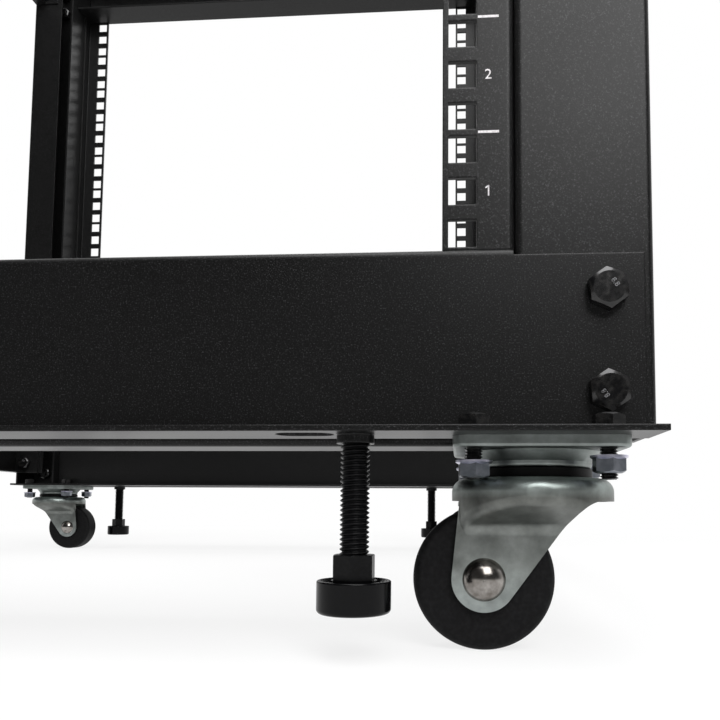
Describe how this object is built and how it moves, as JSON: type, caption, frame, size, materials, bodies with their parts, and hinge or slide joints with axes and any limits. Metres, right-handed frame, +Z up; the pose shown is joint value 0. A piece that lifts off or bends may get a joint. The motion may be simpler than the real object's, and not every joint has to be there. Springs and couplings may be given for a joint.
{
  "type": "four-post open frame rack",
  "caption": "Black steel four-post open frame equipment rack with square-hole rails, flanged base beams, swivel casters and levelling feet.",
  "frame": {"origin": "on the floor under the wheels, below the middle of the rack", "axes": "+X to the right seen from the front, +Y to the rear, +Z up"},
  "size_m": [0.6018, 0.658, 0.7274],
  "materials": {
    "powder_coat": "fine-textured satin black powder coat",
    "zinc_plate": "pressed steel, bright zinc plated with a faint green cast",
    "axle_steel": "bright riveted steel",
    "wheel_rubber": "matte hard black rubber",
    "black_screw": "black oxide steel thread",
    "foot_plastic": "moulded black plastic"
  },
  "bodies": {
    "root": {"front_base_beam": "powder_coat", "front_top_beam": "powder_coat", "rear_base_beam": "powder_coat", "rear_top_beam": "powder_coat", "left_lower_side_rail": "powder_coat", "left_upper_side_rail": "powder_coat", "right_lower_side_rail": "powder_coat", "right_upper_side_rail": "powder_coat", "front_left_post": "powder_coat", "front_left_mounting_rail": "powder_coat", "front_left_caster_plate": "zinc_plate", "front_right_post": "powder_coat", "front_right_mounting_rail": "powder_coat", "front_right_caster_plate": "zinc_plate", "rear_left_post": "powder_coat", "rear_left_mounting_rail": "powder_coat", "rear_left_caster_plate": "zinc_plate", "rear_right_post": "powder_coat", "rear_right_mounting_rail": "powder_coat", "rear_right_caster_plate": "zinc_plate"},
    "front_left_swivel": {"front_left_caster_fork": "zinc_plate", "front_left_caster_axle": "axle_steel"},
    "front_left_wheel": {"front_left_caster_wheel": "wheel_rubber"},
    "front_left_foot": {"front_left_foot_screw": "black_screw", "front_left_foot_pad": "foot_plastic"},
    "front_right_swivel": {"front_right_caster_fork": "zinc_plate", "front_right_caster_axle": "axle_steel"},
    "front_right_wheel": {"front_right_caster_wheel": "wheel_rubber"},
    "front_right_foot": {"front_right_foot_screw": "black_screw", "front_right_foot_pad": "foot_plastic"},
    "rear_left_swivel": {"rear_left_caster_fork": "zinc_plate", "rear_left_caster_axle": "axle_steel"},
    "rear_left_wheel": {"rear_left_caster_wheel": "wheel_rubber"},
    "rear_left_foot": {"rear_left_foot_screw": "black_screw", "rear_left_foot_pad": "foot_plastic"},
    "rear_right_swivel": {"rear_right_caster_fork": "zinc_plate", "rear_right_caster_axle": "axle_steel"},
    "rear_right_wheel": {"rear_right_caster_wheel": "wheel_rubber"},
    "rear_right_foot": {"rear_right_foot_screw": "black_screw", "rear_right_foot_pad": "foot_plastic"}
  },
  "joints": [
    {"name": "front_left_swivel_turn", "type": "hinge", "parent": "root", "child": "front_left_swivel", "pos_m": [-0.2593, -0.2865, 0.0594], "axis": [0, 0, 1], "continuous": true},
    {"name": "front_left_wheel_spin", "type": "hinge", "parent": "front_left_swivel", "child": "front_left_wheel", "pos_m": [-0.2403, -0.2865, 0.0254], "axis": [0, 1, 0], "continuous": true},
    {"name": "front_left_foot_screw_travel", "type": "slide", "parent": "root", "child": "front_left_foot", "axis": [0, 0, 1], "range_m": [-0.002, 0.0365]},
    {"name": "front_right_swivel_turn", "type": "hinge", "parent": "root", "child": "front_right_swivel", "pos_m": [0.2593, -0.2865, 0.0594], "axis": [0, 0, 1], "continuous": true},
    {"name": "front_right_wheel_spin", "type": "hinge", "parent": "front_right_swivel", "child": "front_right_wheel", "pos_m": [0.2403, -0.2865, 0.0254], "axis": [0, 1, 0], "continuous": true},
    {"name": "front_right_foot_screw_travel", "type": "slide", "parent": "root", "child": "front_right_foot", "axis": [0, 0, 1], "range_m": [-0.002, 0.0365]},
    {"name": "rear_left_swivel_turn", "type": "hinge", "parent": "root", "child": "rear_left_swivel", "pos_m": [-0.2593, 0.2865, 0.0594], "axis": [0, 0, 1], "continuous": true},
    {"name": "rear_left_wheel_spin", "type": "hinge", "parent": "rear_left_swivel", "child": "rear_left_wheel", "pos_m": [-0.2403, 0.2865, 0.0254], "axis": [0, 1, 0], "continuous": true},
    {"name": "rear_left_foot_screw_travel", "type": "slide", "parent": "root", "child": "rear_left_foot", "axis": [0, 0, 1], "range_m": [-0.002, 0.0365]},
    {"name": "rear_right_swivel_turn", "type": "hinge", "parent": "root", "child": "rear_right_swivel", "pos_m": [0.2593, 0.2865, 0.0594], "axis": [0, 0, 1], "continuous": true},
    {"name": "rear_right_wheel_spin", "type": "hinge", "parent": "rear_right_swivel", "child": "rear_right_wheel", "pos_m": [0.2403, 0.2865, 0.0254], "axis": [0, 1, 0], "continuous": true},
    {"name": "rear_right_foot_screw_travel", "type": "slide", "parent": "root", "child": "rear_right_foot", "axis": [0, 0, 1], "range_m": [-0.002, 0.0365]}
  ]
}
